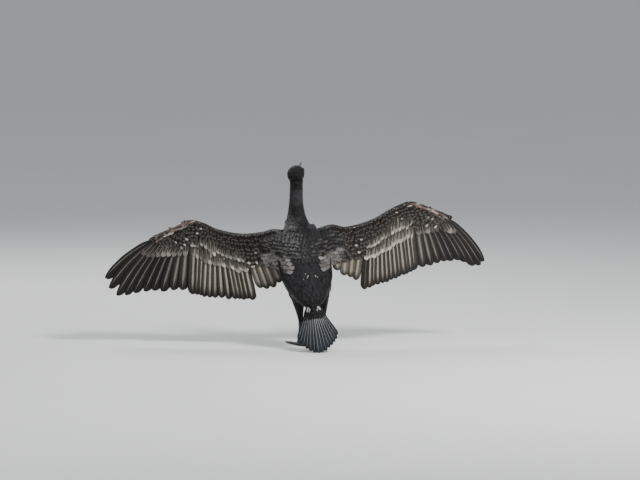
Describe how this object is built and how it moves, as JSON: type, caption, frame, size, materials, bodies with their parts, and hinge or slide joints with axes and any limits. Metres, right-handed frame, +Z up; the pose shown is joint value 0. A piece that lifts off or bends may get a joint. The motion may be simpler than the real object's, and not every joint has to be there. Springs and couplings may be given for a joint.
{
  "type": "great cormorant figure",
  "caption": "Life-size cormorant standing on its webbed feet and tail tip with both wings spread to dry, seen as a still figure.",
  "frame": {"origin": "on the ground under the middle of the figure's box", "axes": "+Z up, the bird faces -Y, its left wing points to +X"},
  "size_m": [1.1789, 0.4375, 0.5479],
  "materials": {
    "plumage": "black contour feathers with a faint oily gloss",
    "wing_feather": "dark brown-grey vanes with paler shafts and edges",
    "tail_feather": "stiff slate-grey vanes with pale shafts",
    "bill": "horn, smooth and slightly glossy",
    "bare_skin": "bare yellow-orange skin, finely wrinkled",
    "eye": "wet green iris round a black pupil",
    "leg": "black scaled skin, satin"
  },
  "bodies": {
    "root": {"head": "plumage", "bill_upper": "bill", "bill_lower": "bill", "throat_pouch": "bare_skin", "eye_left": "eye", "eye_right": "eye", "neck": "plumage", "body": "plumage", "wing_left_upper_arm": "wing_feather", "wing_left_forearm": "wing_feather", "wing_left_hand": "wing_feather", "wing_right_upper_arm": "wing_feather", "wing_right_forearm": "wing_feather", "wing_right_hand": "wing_feather", "tail": "tail_feather", "thigh_left": "plumage", "shank_left": "leg", "foot_left": "leg", "thigh_right": "plumage", "shank_right": "leg", "foot_right": "leg"}
  },
  "joints": []
}
